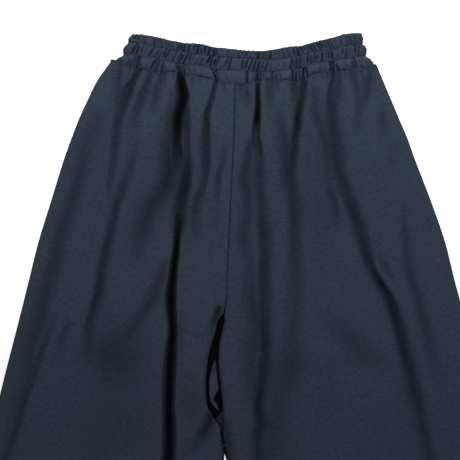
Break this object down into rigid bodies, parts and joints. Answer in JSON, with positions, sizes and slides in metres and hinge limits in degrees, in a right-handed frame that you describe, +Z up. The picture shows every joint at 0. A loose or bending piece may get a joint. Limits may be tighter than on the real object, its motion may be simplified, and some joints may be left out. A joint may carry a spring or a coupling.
{
  "type": "wide-leg trousers laid flat",
  "caption": "Wide-leg pull-on trousers laid flat, with a gathered elastic waistband, a plain centre seam and soft folds running down the legs.",
  "frame": {"origin": "on the table, under the middle of the garment's box", "axes": "+Z up from the table, front of the garment on top; +Y towards the waist; +X towards the wearer's left leg, which is the right seen from above"},
  "size_m": [0.792, 0.933, 0.0166],
  "materials": {
    "cloth": "matte navy plain weave with fine uneven threads across",
    "band": "the same navy cloth, gathered over elastic"
  },
  "bodies": {
    "root": {"waistband": "band", "front_right_leg": "cloth", "front_left_leg": "cloth", "back_right_leg": "cloth", "back_left_leg": "cloth"}
  },
  "joints": []
}
